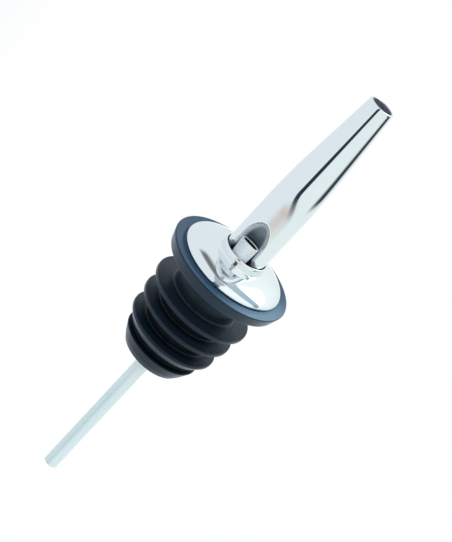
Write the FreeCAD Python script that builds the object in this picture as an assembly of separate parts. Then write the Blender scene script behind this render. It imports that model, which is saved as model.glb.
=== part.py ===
"""Free-flow pour spout for liquor bottles: four pieces, pressed together.

Millimetres. Z is the pouring tube's axis, up towards the mouth. Z = 0 is the underside of the
stopper's flange, which seats on the bottle's lip. The scoop for the air tube faces -Y.
"""
import FreeCAD, Part
import math
import os

V = FreeCAD.Vector
AXIS_POINT = V(0, 0, 0)
UP = V(0, 0, 1)

# Pouring tube: a plain stem below, a straight taper above, one wall throughout
TUBE_R = 4.95
WALL = 0.5
STEM_END_Z = -24.6
FLARE_R = 5.5
FLARE_HEIGHT = 1.0
TAPER_CORNER_Z = 28.25
TAPER_BEND_R = 170.0
MOUTH_R = 3.02
MOUTH_Z = 53.45
MOUTH_SLANT_DEG = 7.5

# Scoop: a dome-topped dent that widens into a foot just above the stopper
SCOOP_Y = -5.5
SCOOP_R = 3.25
SCOOP_SHOULDER_Z = 10.35
SCOOP_HEAD = 7.5
SCOOP_FLOOR_Z = 6.3
FOOT_HALF_WIDTH = 7.0
FOOT_HALF_HEIGHT = 3.35
FOOT_Z = 6.55

# Collar: a domed sheet-metal cap with a neck ring drawn up around the tube
DOME_R = 12.5
DOME_RISE = 3.1
DOME_EDGE_Z = 3.38
RIM_TUCK = 0.4
SHEET = 0.5
NECK_R = 5.6
NECK_MOUTH_R = 5.12
NECK_TOP_Z = 8.2
NECK_GRIP_Z = 7.05

# Stopper: a flange, a core with three fins, and a tapered tip
FLANGE_R = 15.02
FLANGE_TOP_Z = 2.85
FLANGE_EDGE_ROUND = 0.25
FLANGE_SEAT_R = 14.12
FLANGE_SEAT_ROUND = 0.3
CORE_R = 7.95
ROOT_FILLET = 0.35
# each fin: top height, radius, rim height, radius and depth where the underside breaks
FINS = (
    (-7.1, 12.17, 1.05, 9.2, 2.05),
    (-12.2, 11.54, 0.95, 9.2, 1.95),
    (-17.2, 10.93, 0.8, 9.7, 2.4),
)
FIN_EDGE_ROUND = 0.25
TIP_TOP_Z = -21.6
TIP_R = 9.4
TIP_CONE_R = 8.15
TIP_CONE_Z = -24.1
TIP_END_R = 7.25
STOPPER_END_Z = -25.5

# Air tube: upright below the bend, then leaning out into the scoop
AIR_R = 1.65
AIR_WALL = 0.5
AIR_END_Z = -63.35
AIR_BEND_Z = -22.0
AIR_BEND_R = 60.0
AIR_TOP = V(0, -3.85, 11.95)
OVAL_LENGTH = 9.0
OVAL_MIDDLE = 3.4
# half-width and half-depth of the pressed stretch, halfway and at the top
OVAL_HALVES = ((2.15, 1.25), (2.28, 1.0))


def rounded_outline(corners):
    """A closed wire in the XZ plane through (radius, height, rounding) corners."""
    points = [V(radius, 0, height) for radius, height, _ in corners]
    arcs = []
    for index, (_, _, rounding) in enumerate(corners):
        here = points[index]
        back = (points[index - 1] - here).normalize()
        ahead = (points[(index + 1) % len(points)] - here).normalize()
        if rounding == 0:
            arcs.append((here, None, here))
            continue
        half_angle = back.getAngle(ahead) / 2
        inward = (back + ahead).normalize()
        reach = rounding / math.tan(half_angle)
        to_arc = rounding / math.sin(half_angle) - rounding
        arcs.append((here + back * reach, here + inward * to_arc, here + ahead * reach))
    edges = []
    for index, (start, middle, end) in enumerate(arcs):
        if middle is not None:
            edges.append(Part.Arc(start, middle, end).toShape())
        following = arcs[(index + 1) % len(arcs)][0]
        edges.append(Part.LineSegment(end, following).toShape())
    return Part.Wire(edges)


def turned(wire):
    """The solid that a closed XZ outline sweeps around the tube's axis."""
    return Part.Face(wire).revolve(AXIS_POINT, UP, 360)


def tube_body(inset):
    """The pouring tube's outer body, or its bore when inset is the wall."""
    taper = (TUBE_R - MOUTH_R) / (MOUTH_Z - TAPER_CORNER_Z)
    over = 6.0
    past_mouth_r = MOUTH_R - taper * over
    below = STEM_END_Z - (over if inset else 0)
    flare_end_r = FLARE_R + (STEM_END_Z - below) * (FLARE_R - TUBE_R) / FLARE_HEIGHT
    return turned(rounded_outline((
        (0, below, 0),
        (flare_end_r - inset, below, 0),
        (TUBE_R - inset, STEM_END_Z + FLARE_HEIGHT, 0),
        (TUBE_R - inset, TAPER_CORNER_Z, TAPER_BEND_R),
        (past_mouth_r - inset, MOUTH_Z + over, 0),
        (0, MOUTH_Z + over, 0),
    )))


def scoop_punch(grow):
    """A round punch with a long domed head, upright in front of the tube."""
    radius = SCOOP_R + grow
    top = V(0, 0, SCOOP_SHOULDER_Z + SCOOP_HEAD + grow)
    shoulder = V(radius, 0, SCOOP_SHOULDER_Z)
    heel = V(radius, 0, SCOOP_FLOOR_Z)
    floor_middle = V(radius * math.sqrt(0.5), 0, SCOOP_FLOOR_Z - radius * math.sqrt(0.5))
    floor = V(0, 0, SCOOP_FLOOR_Z - radius)
    head = Part.Ellipse(top, shoulder, V(0, 0, SCOOP_SHOULDER_Z))
    punch = turned(Part.Wire([
        Part.ArcOfEllipse(head, 0, math.pi / 2).toShape(),
        Part.LineSegment(shoulder, heel).toShape(),
        Part.Arc(heel, floor_middle, floor).toShape(),
        Part.LineSegment(floor, top).toShape(),
    ]))
    punch.translate(V(0, SCOOP_Y, 0))
    return punch


def scoop_foot(grow):
    """A wide egg lying across the tube: it spreads the scoop just above the collar's neck."""
    half_width = FOOT_HALF_WIDTH + grow
    ellipse = Part.Ellipse(V(half_width, 0, 0), V(0, 0, FOOT_HALF_HEIGHT + grow), V(0, 0, 0))
    wire = Part.Wire([
        Part.ArcOfEllipse(ellipse, 0, math.pi).toShape(),
        Part.LineSegment(V(-half_width, 0, 0), V(half_width, 0, 0)).toShape(),
    ])
    foot = Part.Face(wire).revolve(AXIS_POINT, V(1, 0, 0), 360)
    foot.translate(V(0, SCOOP_Y, FOOT_Z))
    return foot


def scoop_tool(grow):
    """What presses the scoop: grow 0 for the dent, the wall for the metal behind it."""
    return scoop_punch(grow).fuse(scoop_foot(grow))


def mouth_cutter():
    """A block above the slanted plane of the mouth, which stands higher on the scoop's side."""
    size = 40.0
    block = Part.makeBox(size, size, size, V(-size / 2, -size / 2, 0))
    block.rotate(AXIS_POINT, V(1, 0, 0), -MOUTH_SLANT_DEG)
    block.translate(V(0, 0, MOUTH_Z))
    return block


def make_pour_spout(air_tube_body):
    metal = tube_body(0).cut(scoop_tool(0))
    bore = tube_body(WALL).cut(scoop_tool(WALL))
    return metal.cut(bore).cut(mouth_cutter()).cut(air_tube_body)


def dome_arc(half_width, rise, from_r, to_r):
    """The dome's elliptical section between two radii."""
    centre = V(0, 0, DOME_EDGE_Z)
    ellipse = Part.Ellipse(V(half_width, 0, DOME_EDGE_Z), V(0, 0, DOME_EDGE_Z + rise), centre)
    first, last = sorted(math.acos(radius / half_width) for radius in (from_r, to_r))
    return Part.ArcOfEllipse(ellipse, first, last).toShape()


def dome_height(half_width, rise, radius):
    return DOME_EDGE_Z + rise * math.sqrt(1 - (radius / half_width) ** 2)


def make_collar_cap():
    inner_half = DOME_R - SHEET
    inner_rise = DOME_RISE - SHEET
    neck_round = (NECK_R - NECK_MOUTH_R) / 2
    crown_z = NECK_TOP_Z - neck_round
    crown = V((NECK_R + NECK_MOUTH_R) / 2, 0, NECK_TOP_Z)
    outer_foot = V(NECK_R, 0, dome_height(DOME_R, DOME_RISE, NECK_R))
    inner_foot = V(TUBE_R, 0, dome_height(inner_half, inner_rise, TUBE_R))
    step = NECK_MOUTH_R - TUBE_R
    tuck_z = FLANGE_TOP_Z
    tuck_middle = V(DOME_R - RIM_TUCK * 0.3, 0, (DOME_EDGE_Z + tuck_z) / 2)
    corners = (
        V(inner_half, 0, DOME_EDGE_Z),
        V(inner_half - RIM_TUCK, 0, tuck_z),
        V(DOME_R - RIM_TUCK, 0, tuck_z),
        V(DOME_R, 0, DOME_EDGE_Z),
    )
    edges = [
        Part.LineSegment(corners[0], corners[1]).toShape(),
        Part.LineSegment(corners[1], corners[2]).toShape(),
        Part.Arc(corners[2], tuck_middle, corners[3]).toShape(),
        dome_arc(DOME_R, DOME_RISE, DOME_R, NECK_R),
        Part.LineSegment(outer_foot, V(NECK_R, 0, crown_z)).toShape(),
        Part.Arc(V(NECK_R, 0, crown_z), crown, V(NECK_MOUTH_R, 0, crown_z)).toShape(),
        Part.LineSegment(V(NECK_MOUTH_R, 0, crown_z), V(NECK_MOUTH_R, 0, NECK_GRIP_Z + step)).toShape(),
        Part.LineSegment(V(NECK_MOUTH_R, 0, NECK_GRIP_Z + step), V(TUBE_R, 0, NECK_GRIP_Z)).toShape(),
        Part.LineSegment(V(TUBE_R, 0, NECK_GRIP_Z), inner_foot).toShape(),
        dome_arc(inner_half, inner_rise, inner_half, TUBE_R),
    ]
    return turned(Part.Wire(Part.__sortEdges__(edges)))


def fin_corners():
    """Outline corners of the three thin fins, top to bottom."""
    corners = []
    for top, radius, rim, break_r, break_depth in FINS:
        root_z = top - break_depth - 0.2
        corners += [
            (CORE_R, top, ROOT_FILLET),
            (radius, top, FIN_EDGE_ROUND),
            (radius, top - rim, FIN_EDGE_ROUND),
            (break_r, top - break_depth, 0),
            (CORE_R, root_z, 0),
        ]
    return corners


def make_stopper():
    flange = [
        (TUBE_R, FLANGE_TOP_Z, 0),
        (FLANGE_R, FLANGE_TOP_Z, FLANGE_EDGE_ROUND),
        (FLANGE_SEAT_R, 0, FLANGE_SEAT_ROUND),
        (CORE_R, 0, ROOT_FILLET),
    ]
    tip = [
        (CORE_R, TIP_TOP_Z, ROOT_FILLET),
        (TIP_R, TIP_TOP_Z, FIN_EDGE_ROUND),
        (TIP_CONE_R, TIP_CONE_Z, 1.0),
        (TIP_END_R, STOPPER_END_Z, 0.4),
        (FLARE_R, STOPPER_END_Z, 0),
        (FLARE_R, STEM_END_Z, 0),
        (TUBE_R, STEM_END_Z + FLARE_HEIGHT, 0),
    ]
    return turned(rounded_outline(flange + fin_corners() + tip))


def tube_section(centre, along, half_x, half_depth):
    """A section of the air tube, square to the tube: round, or an oval where it is pressed."""
    if half_x == half_depth:
        outline = Part.Circle(centre, along, half_x)
        outline.XAxis = V(1, 0, 0)
    else:
        depth = along.cross(V(1, 0, 0))
        outline = Part.Ellipse(centre + V(half_x, 0, 0), centre + depth * half_depth, centre)
    return Part.Wire(outline.toShape())


def air_tube_body(inset):
    """The air tube's outer body, or its bore when inset is the tube's wall."""
    radius = AIR_R - inset
    bend = V(0, 0, AIR_BEND_Z)
    lean = (AIR_TOP - bend).normalize()
    half_turn = lean.getAngle(UP) / 2
    reach = AIR_BEND_R * math.tan(half_turn)
    inward = (lean - UP).normalize()
    to_arc = AIR_BEND_R / math.cos(half_turn) - AIR_BEND_R
    arc_start = bend - UP * reach
    arc_end = bend + lean * reach
    oval_start = AIR_TOP - lean * OVAL_LENGTH
    bottom = V(0, 0, AIR_END_Z)
    path = Part.Wire([
        Part.LineSegment(bottom, arc_start).toShape(),
        Part.Arc(arc_start, bend + inward * to_arc, arc_end).toShape(),
        Part.LineSegment(arc_end, oval_start).toShape(),
    ])
    lower = path.makePipeShell([tube_section(bottom, UP, radius, radius)], True, False)
    sections = [tube_section(oval_start, lean, radius, radius)]
    centres = (AIR_TOP - lean * OVAL_MIDDLE, AIR_TOP)
    for centre, (half_x, half_depth) in zip(centres, OVAL_HALVES):
        sections.append(tube_section(centre, lean, half_x - inset, half_depth - inset))
    return lower.fuse(Part.makeLoft(sections, True, False))


def make_breather_tube():
    return air_tube_body(0).cut(air_tube_body(AIR_WALL))


def main():
    os.makedirs("parts", exist_ok=True)
    pieces = {
        "pour_spout": make_pour_spout(air_tube_body(0)),
        "collar_cap": make_collar_cap(),
        "stopper": make_stopper(),
        "breather_tube": make_breather_tube(),
    }
    for name, shape in pieces.items():
        shape.exportStep("parts/" + name + ".step")
        print(name, "solids", len(shape.Solids), "valid", shape.isValid(), "mm3", round(shape.Volume, 1))


main()
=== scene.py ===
"""Free-flow liquor pour spout: the visual pieces, their materials and a light tent around them.

Shapes are worked out in millimetres in the CAD frame and scaled to metres when a mesh is made.
Z is the pouring tube's axis, up towards the mouth; the scoop with the air tube faces -Y.
"""

import math

import bpy
import numpy as np
from mathutils import Matrix, Vector


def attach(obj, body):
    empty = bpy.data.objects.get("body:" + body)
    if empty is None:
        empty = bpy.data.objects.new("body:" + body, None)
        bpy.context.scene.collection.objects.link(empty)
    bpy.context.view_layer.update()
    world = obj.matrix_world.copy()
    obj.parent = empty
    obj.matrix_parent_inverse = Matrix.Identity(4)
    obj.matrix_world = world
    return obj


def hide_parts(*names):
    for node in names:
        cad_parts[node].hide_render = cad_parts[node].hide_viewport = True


MM = 0.001
# kept between faces that touch in the real object, so that they don't coincide
CLEARANCE = 0.01

# Pouring tube, as in the CAD model
TUBE_R = 4.95
WALL = 0.5
STEM_END_Z = -24.6
FLARE_R = 5.5
FLARE_HEIGHT = 1.0
TAPER_CORNER_Z = 28.25
TAPER_BEND_R = 170.0
MOUTH_R = 3.02
MOUTH_Z = 53.45
MOUTH_SLANT = math.tan(math.radians(7.5))
SLANT_START_Z = 46.25
SLANT_FULL_Z = MOUTH_Z - 1
# heights where the rows of the mesh change pitch, each with the number of rows up to the next
OUTER_ROWS = ((0, 1), (2, 16), (6, 130), (19, 16), (22, 28), (36, 19))
OUTER_LAST_ROW = 52.9
BORE_ROWS = ((52.5, 15), (36, 20), (19, 60), (5, 4), (0, 1))

# Scoop pressed into the tube's foot; its edge is eased over
SCOOP_Y = -5.5
SCOOP_R = 3.25
SCOOP_SHOULDER_Z = 10.35
SCOOP_HEAD = 7.5
SCOOP_FLOOR_Z = 6.3
FOOT_HALF_WIDTH = 7.0
FOOT_HALF_HEIGHT = 3.35
FOOT_Z = 6.55
SCOOP_LIP = 1.6
SCOOP_EASE = 0.8
FOOT_BLEND = 0.9
SCOOP_SPAN = math.radians(75)
SCOOP_FADE = math.radians(6)
SCOOP_LOWEST_Z = 1
SCOOP_HIGHEST_Z = 22

# Collar
DOME_R = 12.5
DOME_RISE = 3.1
DOME_EDGE_Z = 3.38
RIM_TUCK = 0.4
SHEET = 0.5
NECK_R = 5.6
NECK_MOUTH_R = 5.12
NECK_TOP_Z = 8.2
NECK_GRIP_Z = 7.05
NECK_FILLET = 0.35

# Stopper
FLANGE_R = 15.02
FLANGE_TOP_Z = 2.85
FLANGE_SEAT_R = 14.12
CORE_R = 7.95
# each fin: top height, radius, rim height, radius and depth where the underside breaks
FINS = (
    (-7.1, 12.17, 1.05, 9.2, 2.05),
    (-12.2, 11.54, 0.95, 9.2, 1.95),
    (-17.2, 10.93, 0.8, 9.7, 2.4),
)
TIP_TOP_Z = -21.6
TIP_R = 9.4
TIP_CONE_R = 8.15
TIP_CONE_Z = -24.1
TIP_END_R = 7.25
STOPPER_END_Z = -25.5
RIM_DRAFT = 0.03
ROOT_ROUND = 0.6
EDGE_ROUND = 0.25
UNDER_EDGE_ROUND = 0.3

# Air tube
AIR_R = 1.65
AIR_WALL = 0.5
AIR_END_Z = -63.35
AIR_BEND_Z = -22.0
AIR_BEND_R = 60.0
AIR_TOP = Vector((0, -3.85, 11.95))
OVAL_LENGTH = 9.0
OVAL_HALF_WIDTH = 2.28
OVAL_HALF_DEPTH = 1.0
OVAL_FLATNESS = 0.9
OVAL_ONSET = 0.8
AIR_EDGE = 0.12

# View: the camera's place round the object, how steeply the object's axis rises in the picture,
# and how far the picture's middle is off it, as shares of the picture's longer side
CAMERA_AZIMUTH = math.radians(8.8)
CAMERA_ELEVATION = math.radians(26.5)
CAMERA_DISTANCE = 600.0
CAMERA_LENS = 186.9
AIM_Z = 1.25
AXIS_RISE = math.radians(46.99)
AIM_RIGHT = 0.0024
AIM_DOWN = 0.00314
FLOOR_Z = AIR_END_Z - 0.1
FLOOR_R = 150.0

# Light
WINDOW_LIGHT = (3.6, 3.9, 4.0, 1.0)
SIDE_LIGHT_PLACE = Vector((20.5, -8, 80))
SIDE_LIGHT_AIM = Vector((14.5, -5, 3))
SIDE_LIGHT_CONE = math.radians(20.5)
SIDE_LIGHT_POWER = 0.85


# ---------------------------------------------------------------- meshes

def make_object(name, points, faces, material_index=None):
    """A smooth-shaded mesh object from points in millimetres."""
    mesh = bpy.data.meshes.new(name)
    mesh.from_pydata((np.asarray(points) * MM).tolist(), [], faces)
    if material_index is not None:
        mesh.polygons.foreach_set("material_index", material_index)
    mesh.polygons.foreach_set("use_smooth", [True] * len(faces))
    mesh.update()
    piece = bpy.data.objects.new(name, mesh)
    bpy.context.scene.collection.objects.link(piece)
    return piece


def ring_faces(rows, columns):
    """Quads of a grid that closes on itself both ways, facing outwards for rows that go up."""
    faces = []
    for row in range(rows):
        above = (row + 1) % rows
        for column in range(columns):
            beside = (column + 1) % columns
            faces.append((
                row * columns + column,
                row * columns + beside,
                above * columns + beside,
                above * columns + column,
            ))
    return faces


def round_corners(corners, step=math.radians(12)):
    """Profile points through corners, each given by its radius, height and rounding.

    A straight run gets a point close to each end, so that smooth shading leaves it flat."""
    points = []
    count = len(corners)
    for index, (radius, height, rounding) in enumerate(corners):
        here = Vector((radius, height))
        back = (Vector(corners[index - 1][:2]) - here).normalized()
        ahead = (Vector(corners[(index + 1) % count][:2]) - here).normalized()
        if rounding == 0:
            points.append(here)
            continue
        half_angle = back.angle(ahead) / 2
        reach = rounding / math.tan(half_angle)
        centre = here + (back + ahead).normalized() * rounding / math.sin(half_angle)
        start = here + back * reach
        end = here + ahead * reach
        turn = math.pi - 2 * half_angle
        steps = max(3, math.ceil(turn / step))
        spoke = start - centre
        side = 1 if spoke.cross(end - centre) > 0 else -1
        gap = rounding * 0.15
        points.append(start + back * gap)
        for part in range(steps + 1):
            points.append(centre + Matrix.Rotation(side * turn * part / steps, 2) @ spoke)
        points.append(end + ahead * gap)
    return points


def half_circle(steps):
    """Angles from 0 to half a turn."""
    return [math.pi * step / steps for step in range(steps + 1)]


def lathe(name, profile, columns=256):
    """A turned body from a closed profile of (radius, height) that runs upwards outside."""
    angles = np.arange(columns) * 2 * math.pi / columns
    points = [
        (radius * math.sin(angle), -radius * math.cos(angle), height)
        for radius, height in profile
        for angle in angles
    ]
    return make_object(name, points, ring_faces(len(profile), columns))


# ---------------------------------------------------------------- pouring tube

def tube_radius(z):
    """The tube's outer radius: a plain stem, a long arc and a straight taper."""
    slope = (TUBE_R - MOUTH_R) / (MOUTH_Z - TAPER_CORNER_Z)
    angle = math.atan(slope)
    arc_start = TAPER_CORNER_Z - TAPER_BEND_R * math.tan(angle / 2)
    arc_end = arc_start + TAPER_BEND_R * math.sin(angle)
    flare = (FLARE_R - TUBE_R) * np.clip((STEM_END_Z + FLARE_HEIGHT - z) / FLARE_HEIGHT, 0, 1)
    rise = np.clip(z, arc_start, arc_end) - arc_start
    arc = TAPER_BEND_R - np.sqrt(TAPER_BEND_R ** 2 - rise ** 2)
    return TUBE_R + flare - arc - slope * np.maximum(z - arc_end, 0)


def smooth_max(a, b, width):
    """The larger of two depths, rounded over where they cross."""
    near = np.maximum(width - np.abs(a - b), 0) / width
    return np.maximum(a, b) + near * near * width / 4


def tool_depth(inside, radius):
    """How far back a tool of this radius reaches; inside is negative beside the tool."""
    face = SCOOP_Y + radius * SCOOP_EASE / (radius + SCOOP_EASE)
    return face + inside / (np.sqrt(np.maximum(inside, 0)) + SCOOP_EASE)


def scoop_depth(x, z, grow):
    """How far back (in y) the scoop's tools reach at a place on the tube's front."""
    radius = SCOOP_R + grow
    head = 1 - (np.maximum(z - SCOOP_SHOULDER_Z, 0) / (SCOOP_HEAD + grow)) ** 2
    heel = 1 - (np.maximum(SCOOP_FLOOR_Z - z, 0) / radius) ** 2
    punch = tool_depth(radius ** 2 * np.minimum(head, heel) - x ** 2, radius)
    half_height = FOOT_HALF_HEIGHT + grow
    girth = 1 - (x / (FOOT_HALF_WIDTH + grow)) ** 2
    foot = tool_depth(half_height ** 2 * girth - (z - FOOT_Z) ** 2, half_height)
    return smooth_max(punch, foot, FOOT_BLEND)


def spout_angles():
    """Angles round the tube, measured from the scoop's middle, closer together at the scoop."""
    fine = np.linspace(-SCOOP_SPAN, SCOOP_SPAN, 281)
    coarse = np.linspace(SCOOP_SPAN, 2 * math.pi - SCOOP_SPAN, 91)[1:-1]
    return np.concatenate([fine, coarse])


def rows_between(runs, last):
    """Heights in runs: each starts at its height and splits the way to the next one."""
    starts = [height for height, _ in runs]
    rows = []
    for (start, count), end in zip(runs, starts[1:] + [last]):
        rows.extend(np.linspace(start, end, count, endpoint=False))
    return rows + [last]


def spout_profile():
    """Rows of the tube's section as (inset from the outer radius, height)."""
    stem = [STEM_END_Z, STEM_END_Z + 0.1, STEM_END_Z + FLARE_HEIGHT, -23.0, -16.0, -8.0]
    half_wall = WALL / 2
    rows = [(0.0, z) for z in stem + rows_between(OUTER_ROWS, OUTER_LAST_ROW)]
    for turn in half_circle(10):
        rows.append((half_wall * (1 - math.cos(turn)), MOUTH_Z - half_wall + half_wall * math.sin(turn)))
    inner = rows_between(BORE_ROWS, stem[-1])
    return rows + [(WALL, z) for z in inner[:-1] + stem[::-1]]


def pouring_tube():
    """The tapered tube with its scoop, slanted rounded mouth, bore and stem."""
    angles = spout_angles()
    profile = spout_profile()
    inset = np.array([row[0] for row in profile])[:, None]
    height = np.array([row[1] for row in profile])[:, None]
    radius = tube_radius(height) - inset
    x = radius * np.sin(angles)[None, :]
    y = -radius * np.cos(angles)[None, :]
    z = np.broadcast_to(height, x.shape)
    pressed = smooth_max(y, scoop_depth(x, z, inset), SCOOP_LIP)
    in_front = np.abs(angles)[None, :] < SCOOP_SPAN
    near_scoop = in_front & (z > SCOOP_LOWEST_Z) & (z < SCOOP_HIGHEST_Z)
    fade = np.clip((SCOOP_SPAN - np.abs(angles)) / SCOOP_FADE, 0, 1)[None, :]
    y = np.where(near_scoop, y + (pressed - y) * fade, y)
    slant = np.clip((z - SLANT_START_Z) / (SLANT_FULL_Z - SLANT_START_Z), 0, 1)
    z = z - MOUTH_SLANT * y * slant * slant * (3 - 2 * slant)
    rows, columns = x.shape
    points = np.stack([x, y, z], axis=2).reshape(-1, 3)
    bore = np.repeat((inset[:, 0] > WALL * 0.8).astype(int), columns)
    return make_object("pouring_tube", points, ring_faces(rows, columns), bore)


# ---------------------------------------------------------------- collar and stopper

def dome_points(half_width, rise, from_r, to_r, count):
    """The dome's elliptical section between two radii, evenly turned."""
    start, end = math.acos(from_r / half_width), math.acos(to_r / half_width)
    turns = np.linspace(start, end, count)
    return [
        Vector((half_width * math.cos(turn), DOME_EDGE_Z + rise * math.sin(turn)))
        for turn in turns
    ]


def rim_points():
    """The dome's lower edge, tucked in to meet the flange."""
    rim_height = DOME_EDGE_Z - FLANGE_TOP_Z
    flat = [
        Vector((DOME_R - SHEET - RIM_TUCK, FLANGE_TOP_Z)),
        Vector((DOME_R - RIM_TUCK - 0.1, FLANGE_TOP_Z)),
    ]
    return flat + [
        Vector((DOME_R - RIM_TUCK * math.cos(turn), DOME_EDGE_Z - rim_height * (1 - math.sin(turn))))
        for turn in np.linspace(0.1, math.pi / 2, 9)
    ]


def neck_points():
    """The neck ring: fillet, upright wall, rolled top edge, and the step down to the tube.

    Extra points close to the ends of straight runs keep them straight in smooth shading."""
    foot_z = DOME_EDGE_Z + DOME_RISE * math.sqrt(1 - (NECK_R / DOME_R) ** 2)
    points = []
    for step in range(1, 7):
        turn = math.pi / 2 * step / 7
        points.append(Vector((
            NECK_R + NECK_FILLET * (1 - math.sin(turn)),
            foot_z + NECK_FILLET * (1 - math.cos(turn)),
        )))
    roll = (NECK_R - NECK_MOUTH_R) / 2
    crown_z = NECK_TOP_Z - roll
    points += [Vector((NECK_R, foot_z + NECK_FILLET + 0.1)), Vector((NECK_R, crown_z - 0.05))]
    for turn in half_circle(10):
        points.append(Vector((
            (NECK_R + NECK_MOUTH_R) / 2 + roll * math.cos(turn),
            crown_z + roll * math.sin(turn),
        )))
    return points + [
        Vector((NECK_MOUTH_R, crown_z - 0.1)),
        Vector((NECK_MOUTH_R, NECK_GRIP_Z + NECK_MOUTH_R - TUBE_R)),
        Vector((TUBE_R + CLEARANCE, NECK_GRIP_Z)),
    ]


def domed_collar():
    """The sheet-metal cap: tucked rim, dome, neck ring, and the dome's hollow inside."""
    inner_half = DOME_R - SHEET
    inner_rise = DOME_RISE - SHEET
    outside = dome_points(DOME_R, DOME_RISE, DOME_R * 0.99995, NECK_R + NECK_FILLET * 1.3, 64)
    inside = dome_points(inner_half, inner_rise, TUBE_R + CLEARANCE, inner_half * 0.9999, 40)
    return lathe("domed_collar", rim_points() + outside + neck_points() + inside)


def finned_stopper():
    """The moulded stopper: flange, core, three thin fins and a tapered tip."""
    # each corner: radius, height, rounding
    corners = [
        (TUBE_R + CLEARANCE, FLANGE_TOP_Z, 0),
        (FLANGE_R, FLANGE_TOP_Z, EDGE_ROUND),
        (FLANGE_SEAT_R, 0, UNDER_EDGE_ROUND),
        (CORE_R, 0, ROOT_ROUND),
    ]
    for top, radius, rim, break_r, break_depth in FINS:
        corners += [
            (CORE_R, top, ROOT_ROUND),
            (radius, top, EDGE_ROUND),
            (radius - RIM_DRAFT, top - rim, UNDER_EDGE_ROUND),
            (break_r, top - break_depth, 0.35),
            (CORE_R, top - break_depth - 0.2, 0.3),
        ]
    corners += [
        (CORE_R, TIP_TOP_Z, ROOT_ROUND),
        (TIP_R, TIP_TOP_Z, 0.22),
        (TIP_CONE_R, TIP_CONE_Z, 1.0),
        (TIP_END_R, STOPPER_END_Z, 0.4),
        (FLARE_R + CLEARANCE, STOPPER_END_Z, 0),
        (FLARE_R + CLEARANCE, STEM_END_Z, 0),
        (TUBE_R + CLEARANCE, STEM_END_Z + FLARE_HEIGHT, 0),
    ]
    return lathe("finned_stopper", list(reversed(round_corners(corners))), 288)


# ---------------------------------------------------------------- air tube

def air_path():
    """Centre points and directions along the air tube, bottom to top, with how oval it is."""
    bend = Vector((0, 0, AIR_BEND_Z))
    up = Vector((0, 0, 1))
    lean = (AIR_TOP - bend).normalized()
    turn = lean.angle(up)
    reach = AIR_BEND_R * math.tan(turn / 2)
    stops = [(Vector((0, 0, AIR_END_Z + rise)), up, 0.0) for rise in (0, 0.08, 0.3, 14, 28)]
    centre = bend - up * reach + Vector((0, -AIR_BEND_R, 0))
    for step in range(9):
        angle = turn * step / 8
        out = Vector((0, math.cos(angle), math.sin(angle)))
        along = Vector((0, -math.sin(angle), math.cos(angle)))
        stops.append((centre + out * AIR_BEND_R, along, 0.0))
    length = (AIR_TOP - stops[-1][0]).length
    pressed = np.arange(OVAL_LENGTH, 0.3, -0.3)
    for left in np.concatenate([[length - 3, 18, 12], pressed, [AIR_EDGE, 0]]):
        share = min(max(1 - left / OVAL_LENGTH, 0), 1)
        stops.append((AIR_TOP - lean * float(left), lean, share ** OVAL_ONSET))
    return stops


def air_ring(centre, along, oval, inset, columns):
    """One section: round, or pressed towards a flat-sided oval."""
    power = 2 + OVAL_FLATNESS * oval
    half_width = AIR_R + (OVAL_HALF_WIDTH - AIR_R) * oval - inset
    half_depth = AIR_R + (OVAL_HALF_DEPTH - AIR_R) * oval - inset
    across = Vector((1, 0, 0))
    backwards = along.cross(across)
    ring = []
    for column in range(columns):
        angle = 2 * math.pi * column / columns
        cosine, sine = math.cos(angle), math.sin(angle)
        width = half_width * math.copysign(abs(cosine) ** (2 / power), cosine)
        depth = half_depth * math.copysign(abs(sine) ** (2 / power), sine)
        ring.append(centre + across * width + backwards * depth)
    return ring


def air_tube():
    """The milky plastic tube, round below and pressed oval where it stands in the scoop."""
    columns = 96
    stops = air_path()
    rings = [air_ring(*stop, 0, columns) for stop in stops[:-1]]
    top, along, oval = stops[-1]
    for turn in half_circle(6):
        inset = AIR_WALL / 2 * (1 - math.cos(turn))
        centre = top - along * AIR_EDGE * (1 - math.sin(turn))
        rings.append(air_ring(centre, along, oval, inset, columns))
    # the bore's material, painted near-black as shade, starts at the innermost step of the rounded edge
    outer_rings = len(stops) + 4
    rings += [air_ring(*stop, AIR_WALL, columns) for stop in reversed(stops[:-2])]
    points = [point for ring in rings for point in ring]
    bore = np.repeat([0] * outer_rings + [1] * (len(rings) - outer_rings), columns)
    return make_object("air_tube", points, ring_faces(len(rings), columns), bore)


# ---------------------------------------------------------------- materials

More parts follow.
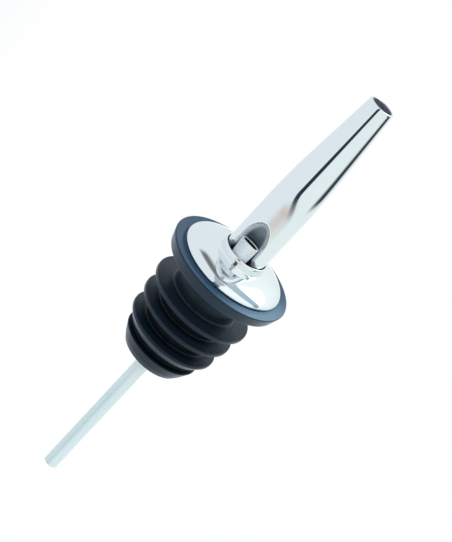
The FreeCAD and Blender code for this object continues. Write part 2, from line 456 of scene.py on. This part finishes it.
class Nodes:
    """Short helpers for a material's or a world's node tree."""

    def __init__(self, tree):
        self.tree = tree
        self.tree.nodes.clear()

    def add(self, kind, inputs=None, **settings):
        node = self.tree.nodes.new(kind)
        for key, value in settings.items():
            setattr(node, key, value)
        for key, value in (inputs or {}).items():
            self.feed(node.inputs[key], value)
        return node

    def feed(self, socket, value):
        if isinstance(value, bpy.types.NodeSocket):
            self.tree.links.new(value, socket)
        else:
            socket.default_value = value

    def math(self, operation, a, b=0.0, c=0.0):
        return self.add("ShaderNodeMath", {0: a, 1: b, 2: c}, operation=operation).outputs[0]

    def times(self, first, *others):
        product = first
        for value in others:
            product = self.math("MULTIPLY", product, value)
        return product

    def ramp(self, value, start, end, low=0.0, high=1.0):
        """Goes smoothly from low to high as value goes from start to end."""
        inputs = {"Value": value, "From Min": start, "From Max": end, "To Min": low, "To Max": high}
        return self.add("ShaderNodeMapRange", inputs, interpolation_type="SMOOTHSTEP").outputs[0]

    def around(self, value, middle, inner, outer):
        """1 near a middle value, falling to 0 at the outer distance from it."""
        off = self.math("SUBTRACT", value, middle)
        return self.ramp(self.math("ABSOLUTE", off), outer, inner)

    def blend(self, share, first, second):
        """The first colour, giving way to the second; inputs 6 and 7 are the node's two colours."""
        inputs = {"Factor": share, 6: first, 7: second}
        return self.add("ShaderNodeMix", inputs, data_type="RGBA").outputs[2]

    def surface(self, kind):
        """The piece's own coordinates ("Object") or the surface's direction there ("Normal")."""
        return self.add("ShaderNodeTexCoord").outputs[kind]

    def axes(self, kind):
        """The same, as separate values for x, y and z."""
        return self.add("ShaderNodeSeparateXYZ", {0: self.surface(kind)}).outputs

    def from_axis(self):
        """Distance from the object's Z axis."""
        x, y, _ = self.axes("Object")
        flat = self.add("ShaderNodeCombineXYZ", {0: x, 1: y}).outputs[0]
        return self.add("ShaderNodeVectorMath", {0: flat}, operation="LENGTH").outputs["Value"]

    def noise(self, scale, detail=2.0, stretch=(1, 1, 1), roughness=0.5):
        """Noise over the piece's own coordinates, scale in lumps per metre."""
        inputs = {"Vector": self.surface("Object"), "Scale": stretch}
        mapped = self.add("ShaderNodeMapping", inputs).outputs[0]
        inputs = {"Vector": mapped, "Scale": scale, "Detail": detail, "Roughness": roughness}
        return self.add("ShaderNodeTexNoise", inputs).outputs["Fac"]

    def bump(self, height, distance, strength):
        inputs = {"Height": height, "Distance": distance, "Strength": strength}
        return self.add("ShaderNodeBump", inputs).outputs[0]

    def surface_shader(self, inputs):
        """The principled shader, joined to the material's output."""
        shader = self.add("ShaderNodeBsdfPrincipled", inputs)
        self.add("ShaderNodeOutputMaterial", {"Surface": shader.outputs[0]})


def material(name):
    made = bpy.data.materials.new(name)
    made.use_nodes = True
    return made, Nodes(made.node_tree)


def colour(*rgb):
    return (*rgb, 1.0)


def plate_colour(nodes):
    """Chrome plate with a faint cloud."""
    return nodes.blend(nodes.noise(180, 3), colour(0.86, 0.885, 0.90), colour(0.90, 0.915, 0.92))


def chrome(name):
    """Polished chrome plate."""
    made, nodes = material(name)
    inputs = {
        "Base Color": plate_colour(nodes),
        "Metallic": 1.0,
        "Roughness": nodes.ramp(nodes.noise(900, 2), 0.35, 0.75, 0.035, 0.07),
    }
    nodes.surface_shader(inputs)
    return made


def spout_chrome():
    """Chrome on the drawn tube: faint marks along it; in the scoop it is rougher and less metallic, with
    painted shade that is darkest deep down and lighter towards the top.
    """
    made, nodes = material("spout_chrome")
    height = nodes.axes("Object")[2]
    from_axis = nodes.from_axis()
    below = nodes.ramp(height, 20 * MM, 19 * MM)
    pressed = nodes.times(nodes.ramp(from_axis, 4.945 * MM, 4.8 * MM), below)
    # painted shade in the scoop: darker the deeper it lies, darkest low down by the air tube and lighter
    # towards the top
    reach = nodes.math("SUBTRACT", from_axis, nodes.ramp(height, 12 * MM, 9 * MM, 0, 0.35 * MM))
    deep = nodes.times(nodes.ramp(reach, 4.1 * MM, 3.4 * MM), below)
    marks = nodes.noise(900, 2, stretch=(1, 1, 0.04))
    upper = nodes.ramp(height, 10 * MM, 17.5 * MM)
    shade = nodes.blend(upper, colour(0.035, 0.05, 0.065), colour(0.34, 0.39, 0.43))
    scoop_painted_shade = nodes.blend(deep, colour(0.78, 0.82, 0.86), shade)
    polish = nodes.ramp(marks, 0.35, 0.75, 0.035, 0.075)
    inputs = {
        "Base Color": nodes.blend(pressed, plate_colour(nodes), scoop_painted_shade),
        "Metallic": nodes.ramp(pressed, 0, 1, 1, 0.6),
        "Roughness": nodes.math("ADD", polish, nodes.ramp(pressed, 0, 1, 0, 0.28)),
        "Normal": nodes.bump(marks, 0.000002, nodes.ramp(pressed, 0, 1, 0.35, 0)),
    }
    nodes.surface_shader(inputs)
    return made


def bore_metal():
    """The unpolished inside of the pouring tube."""
    made, nodes = material("bore_metal")
    stain = nodes.noise(420, 4)
    inputs = {
        "Base Color": nodes.blend(stain, colour(0.40, 0.46, 0.58), colour(0.55, 0.50, 0.50)),
        "Metallic": 0.6,
        "Roughness": nodes.ramp(stain, 0.3, 0.7, 0.22, 0.38),
    }
    nodes.surface_shader(inputs)
    return made


def stopper_rubber():
    """Moulded black rubber: satin and fine-grained, with a parting line and a bluish flange, painted
    light on the flange's top, and painted shade low down and between the fins.
    """
    made, nodes = material("stopper_rubber")
    bloom = nodes.noise(140, 4)
    grain = nodes.noise(5200, 2)
    _, y, height = nodes.axes("Object")
    upwards = nodes.axes("Normal")[2]
    parting_line = nodes.around(y, 0, 0.05 * MM, 0.16 * MM)
    # painted light: the flange's upward face is made a lighter blue
    flange_top_painted_light = nodes.times(nodes.ramp(height, 2.2 * MM, 2.7 * MM), nodes.ramp(upwards, 0.7, 0.98))
    black = nodes.blend(bloom, colour(0.006, 0.0105, 0.016), colour(0.010, 0.016, 0.023))
    # painted shade: darker lower down, over the lower fins
    black = nodes.blend(nodes.ramp(height, -12 * MM, -20 * MM), black, colour(0.0015, 0.0055, 0.011))
    black = nodes.blend(nodes.ramp(height, -21.5 * MM, -22.5 * MM), black, colour(0.001, 0.008, 0.018))
    black = nodes.blend(nodes.ramp(height, -0.4 * MM, 0.2 * MM), black, colour(0.006, 0.019, 0.033))
    # painted shade between the fins, close to the core: darker colour and weaker gloss
    below_flange = nodes.ramp(height, -7 * MM, -13 * MM)
    above_tip = nodes.ramp(height, -22.5 * MM, -21.5 * MM)
    recess = nodes.times(nodes.ramp(nodes.from_axis(), 10 * MM, 8.4 * MM), below_flange, above_tip)
    black = nodes.blend(recess, black, colour(0.002, 0.0035, 0.005))
    black = nodes.blend(nodes.times(parting_line, 0.6), black, colour(0.035, 0.05, 0.065))
    gloss = nodes.ramp(height, -20 * MM, -16 * MM, 0.26, 0.33)
    inputs = {
        "Base Color": nodes.blend(flange_top_painted_light, black, colour(0.036, 0.080, 0.142)),
        "Roughness": nodes.ramp(bloom, 0.3, 0.7, 0.28, 0.36),
        "Specular IOR Level": nodes.math("SUBTRACT", gloss, nodes.times(recess, 0.16)),
        "Specular Tint": colour(0.6, 0.8, 1.0),
        "Sheen Weight": 0.4,
        "Sheen Roughness": 0.3,
        "Sheen Tint": colour(0.3, 0.6, 1.0),
        "Normal": nodes.bump(nodes.math("MULTIPLY_ADD", parting_line, 4.0, grain), 0.00002, 0.25),
    }
    nodes.surface_shader(inputs)
    return made


def milky_plastic():
    """Extruded milky plastic with stripes on its pressed top; on the round tube, painted light and
    shade: lighter on the right and near the stopper, with a soft darker streak along it.
    """
    made, nodes = material("milky_plastic")
    lines = nodes.noise(700, 3, stretch=(1, 1, 0.03))
    x, _, height = nodes.axes("Object")
    stripes = nodes.ramp(nodes.noise(450, 2, stretch=(1, 1, 0.05)), 0.35, 0.65)
    stripes = nodes.blend(stripes, colour(0.68, 0.76, 0.83), colour(0.97, 0.99, 1.0))
    # painted light: the tube's right side is made lighter
    painted_light_right = nodes.ramp(x, -0.1 * MM, 0.6 * MM)
    plain = nodes.blend(painted_light_right, colour(0.63, 0.77, 0.79), colour(0.73, 0.86, 0.88))
    # painted shade: a soft darker streak down the tube
    streak = nodes.around(x, -0.16 * MM, 0.1 * MM, 0.4 * MM)
    plain = nodes.blend(streak, plain, colour(0.57, 0.72, 0.73))
    # painted light: lighter towards the stopper
    plain = nodes.blend(nodes.ramp(height, -42 * MM, -27 * MM, 0, 0.5), plain, colour(0.86, 0.93, 0.94))
    inputs = {
        "Base Color": nodes.blend(nodes.ramp(height, -2 * MM, 6 * MM), plain, stripes),
        "Roughness": nodes.ramp(lines, 0.3, 0.7, 0.28, 0.4),
        "Normal": nodes.bump(lines, 0.00001, 0.3),
    }
    nodes.surface_shader(inputs)
    return made


def bore_plastic():
    """The inside of the air tube, painted near-black as shade."""
    made, nodes = material("bore_plastic")
    stain = nodes.noise(900, 3)
    inputs = {
        "Base Color": nodes.blend(stain, colour(0.012, 0.014, 0.016), colour(0.03, 0.034, 0.036)),
        "Roughness": 0.6,
        "Specular IOR Level": 0.1,
    }
    nodes.surface_shader(inputs)
    return made


# ---------------------------------------------------------------- studio

def ray_parts(nodes):
    """How far a ray heads sideways, forwards and upwards, as the camera sees it."""
    direction = nodes.add("ShaderNodeTexCoord").outputs["Generated"]
    axes = (
        (math.cos(CAMERA_AZIMUTH), math.sin(CAMERA_AZIMUTH), 0),
        (math.sin(CAMERA_AZIMUTH), -math.cos(CAMERA_AZIMUTH), 0),
        (0, 0, 1),
    )
    products = [
        nodes.add("ShaderNodeVectorMath", {0: direction, 1: axis}, operation="DOT_PRODUCT")
        for axis in axes
    ]
    return [product.outputs["Value"] for product in products]


def tent_cloth(nodes, turn, height, sideways):
    """White cloth, cooler on the left, with a brighter roof on the right and a window behind."""
    cloth = nodes.blend(nodes.ramp(turn, -40, 40), colour(0.80, 0.87, 0.92), colour(0.84, 0.93, 0.93))
    roof = nodes.times(nodes.ramp(height, 0, 40), nodes.ramp(sideways, -0.2, 0.3))
    cloth = nodes.blend(roof, cloth, colour(0.98, 1.07, 1.08))
    window = nodes.times(nodes.around(turn, 142, 12, 24), nodes.around(height, 49, 8, 15))
    cloth = nodes.blend(window, cloth, WINDOW_LIGHT)
    behind = nodes.times(nodes.ramp(nodes.math("ABSOLUTE", turn), 168, 174), nodes.ramp(height, 2, -4))
    return nodes.blend(behind, cloth, colour(1, 1, 1))


def front_patch(nodes, turn, height):
    """A warm patch low in front."""
    patch_height = nodes.times(nodes.ramp(height, -21.2, -24), nodes.ramp(height, -27.5, -24, 0.1, 1))
    patch = nodes.times(nodes.around(turn, 6, 8, 44), patch_height)
    return patch, colour(0.66, 0.60, 0.57)


def lens_slit(nodes, turn, height, over_x, over_y):
    """The slit for the lens, up the front and over the roof: near the floor it leans right."""
    slip = nodes.math("ADD", nodes.ramp(height, -19.5, -26, 0, 52), nodes.ramp(height, -4, -13, 0, -4))
    half_width = nodes.ramp(height, -4, -13, 7.6, 9)
    half_width = nodes.math("ADD", half_width, nodes.ramp(height, -18.5, -22.5, 0, 3))
    off_middle = nodes.math("ABSOLUTE", nodes.math("SUBTRACT", turn, slip))
    off_wall = nodes.math("SUBTRACT", off_middle, half_width)
    off_wall = nodes.math("DIVIDE", off_wall, nodes.ramp(height, -19.5, -24.5, 1.2, 9))
    wall_slit = nodes.times(nodes.ramp(off_wall, 1, -1), nodes.ramp(height, -26.4, -20.6))
    wall_slit = nodes.times(wall_slit, nodes.ramp(height, 46, 44))
    roof_slit = nodes.times(nodes.around(over_x, 0, 0.1, 0.16), nodes.ramp(over_y, -0.05, 0.05))
    roof_slit = nodes.times(roof_slit, nodes.ramp(height, 44, 46))
    shade = colour(0.02, 0.038, 0.058)
    shade = nodes.blend(nodes.ramp(height, -12, 14), shade, colour(0.14, 0.175, 0.20))
    shade = nodes.blend(nodes.ramp(height, 10, 60), shade, colour(0.42, 0.49, 0.55))
    return nodes.math("MAXIMUM", wall_slit, roof_slit), shade


def room_corner(nodes, turn, height):
    """A dark corner of the room, low on the right."""
    off_corner = nodes.math("SUBTRACT", turn, nodes.ramp(height, -15, -11, 109, 98))
    corner = nodes.times(nodes.around(off_corner, 0, 6, 26), nodes.ramp(height, -23.2, -21.2))
    return nodes.times(corner, nodes.ramp(height, -2, -9)), colour(0.035, 0.048, 0.062)


def right_seam(nodes, over_x, over_y, height):
    """A steel-blue seam across the roof, to the right."""
    seam = nodes.times(nodes.around(over_y, -0.33, 0.17, 0.33), nodes.ramp(over_x, -0.1, 0.2))
    shade = colour(0.45, 0.58, 0.65)
    shade = nodes.blend(nodes.ramp(over_x, 0.1, 0.9), shade, colour(0.36, 0.54, 0.65))
    shade = nodes.blend(nodes.ramp(over_x, 1.0, 2.4), shade, colour(0.15, 0.26, 0.34))
    return nodes.times(seam, nodes.ramp(height, 10, 17)), shade


def left_seam(nodes, over_x, over_y):
    """A grey seam across the roof, to the left and back."""
    out = nodes.math("ADD", nodes.times(over_x, -0.6), nodes.times(over_y, -0.8))
    off_seam = nodes.math("SUBTRACT", nodes.times(over_x, 0.8), nodes.times(over_y, 0.6))
    seam = nodes.times(nodes.around(off_seam, 0.07, 0.05, 0.22), nodes.ramp(out, 0.9, 0.7))
    return nodes.times(seam, nodes.ramp(out, -0.05, 0.1)), colour(0.18, 0.19, 0.20)


def light_tent():
    """A white tent round the object: brighter behind on the right, dark where it opens."""
    world = bpy.data.worlds.new("light_tent")
    bpy.context.scene.world = world
    world.use_nodes = True
    nodes = Nodes(world.node_tree)
    sideways, forwards, upwards = ray_parts(nodes)
    degree = 180 / math.pi
    turn = nodes.times(nodes.math("ARCTAN2", sideways, forwards), degree)
    height = nodes.times(nodes.math("ARCSINE", upwards), degree)
    # where the ray meets a roof one unit up
    over_x = nodes.math("DIVIDE", sideways, nodes.math("MAXIMUM", upwards, 0.05))
    over_y = nodes.math("DIVIDE", forwards, nodes.math("MAXIMUM", upwards, 0.05))
    layers = (
        front_patch(nodes, turn, height),
        lens_slit(nodes, turn, height, over_x, over_y),
        room_corner(nodes, turn, height),
        right_seam(nodes, over_x, over_y, height),
        left_seam(nodes, over_x, over_y),
    )
    tent = tent_cloth(nodes, turn, height, sideways)
    for share, shade in layers:
        tent = nodes.blend(share, tent, shade)
    background = nodes.add("ShaderNodeBackground", {"Color": tent, "Strength": 1.0})
    nodes.add("ShaderNodeOutputWorld", {"Surface": background.outputs[0]})


def side_light():
    """A warm spot high on the right, which only matt surfaces show."""
    data = bpy.data.lights.new("side_light", "SPOT")
    data.color = (1.0, 0.73, 0.5)
    data.energy = SIDE_LIGHT_POWER
    data.spot_size = SIDE_LIGHT_CONE
    data.spot_blend = 1.0
    data.shadow_soft_size = 4 * MM
    light = bpy.data.objects.new("side_light", data)
    bpy.context.scene.collection.objects.link(light)
    back = (SIDE_LIGHT_PLACE - SIDE_LIGHT_AIM).normalized()
    turn = back.to_track_quat("Z", "Y").to_matrix().to_4x4()
    light.matrix_world = Matrix.Translation(SIDE_LIGHT_PLACE * MM) @ turn
    light.visible_glossy = False


def pale_floor():
    """A plain white disc under the object, bright enough to show hardly any shadow."""
    columns = 128
    points = [(0, 0, FLOOR_Z)]
    faces = []
    for column in range(columns):
        angle = 2 * math.pi * column / columns
        points.append((FLOOR_R * math.cos(angle), FLOOR_R * math.sin(angle), FLOOR_Z))
        faces.append((0, column + 1, (column + 1) % columns + 1))
    floor = make_object("floor", points, faces)
    made, nodes = material("floor_white")
    diffuse = nodes.add("ShaderNodeBsdfDiffuse", {"Color": colour(0.04, 0.04, 0.04)})
    glow = nodes.add("ShaderNodeEmission", {"Color": colour(0.97, 0.97, 0.97)})
    both = nodes.add("ShaderNodeAddShader", {0: diffuse.outputs[0], 1: glow.outputs[0]})
    nodes.add("ShaderNodeOutputMaterial", {"Surface": both.outputs[0]})
    floor.data.materials.append(made)


def photo_camera():
    """A long lens looking down on the scoop, rolled so that the object leans to the right."""
    level = Vector((math.cos(CAMERA_AZIMUTH), math.sin(CAMERA_AZIMUTH), 0))
    towards = Vector((math.sin(CAMERA_AZIMUTH), -math.cos(CAMERA_AZIMUTH), 0))
    back = towards * math.cos(CAMERA_ELEVATION) + Vector((0, 0, math.sin(CAMERA_ELEVATION)))
    upright = back.cross(level)
    roll = math.pi / 2 - AXIS_RISE
    across = level * math.cos(roll) + upright * math.sin(roll)
    up = upright * math.cos(roll) - level * math.sin(roll)
    data = bpy.data.cameras.new("camera")
    data.lens = CAMERA_LENS
    data.sensor_width = 36
    data.shift_x = -AIM_RIGHT
    data.shift_y = AIM_DOWN
    data.clip_start = 0.01
    data.clip_end = 20
    camera = bpy.data.objects.new("camera", data)
    bpy.context.scene.collection.objects.link(camera)
    place = Vector((0, 0, AIM_Z)) + back * CAMERA_DISTANCE
    turn = Matrix((across, up, back)).transposed().to_4x4()
    camera.matrix_world = Matrix.Translation(place * MM) @ turn
    bpy.context.scene.camera = camera


# ---------------------------------------------------------------- the scene

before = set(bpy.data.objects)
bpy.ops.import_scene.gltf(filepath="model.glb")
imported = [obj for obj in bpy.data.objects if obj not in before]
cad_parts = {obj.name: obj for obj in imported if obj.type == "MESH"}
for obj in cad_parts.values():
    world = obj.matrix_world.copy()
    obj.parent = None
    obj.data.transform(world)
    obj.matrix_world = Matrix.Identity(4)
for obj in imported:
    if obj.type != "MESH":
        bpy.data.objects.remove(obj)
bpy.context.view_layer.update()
bpy.context.scene.view_settings.view_transform = "Standard"
photo_camera()
light_tent()
side_light()
pale_floor()

PIECES = (
    (pouring_tube(), "pour_spout", "spout_chrome", (spout_chrome(), bore_metal())),
    (domed_collar(), "collar_cap", "collar_chrome", (chrome("collar_chrome"),)),
    (finned_stopper(), "stopper", "stopper_rubber", (stopper_rubber(),)),
    (air_tube(), "breather_tube", "air_tube_plastic", (milky_plastic(), bore_plastic())),
)
for piece, node, slot, finishes in PIECES:
    for finish in finishes:
        piece.data.materials.append(finish)
    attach(piece, "root")
    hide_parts(node)
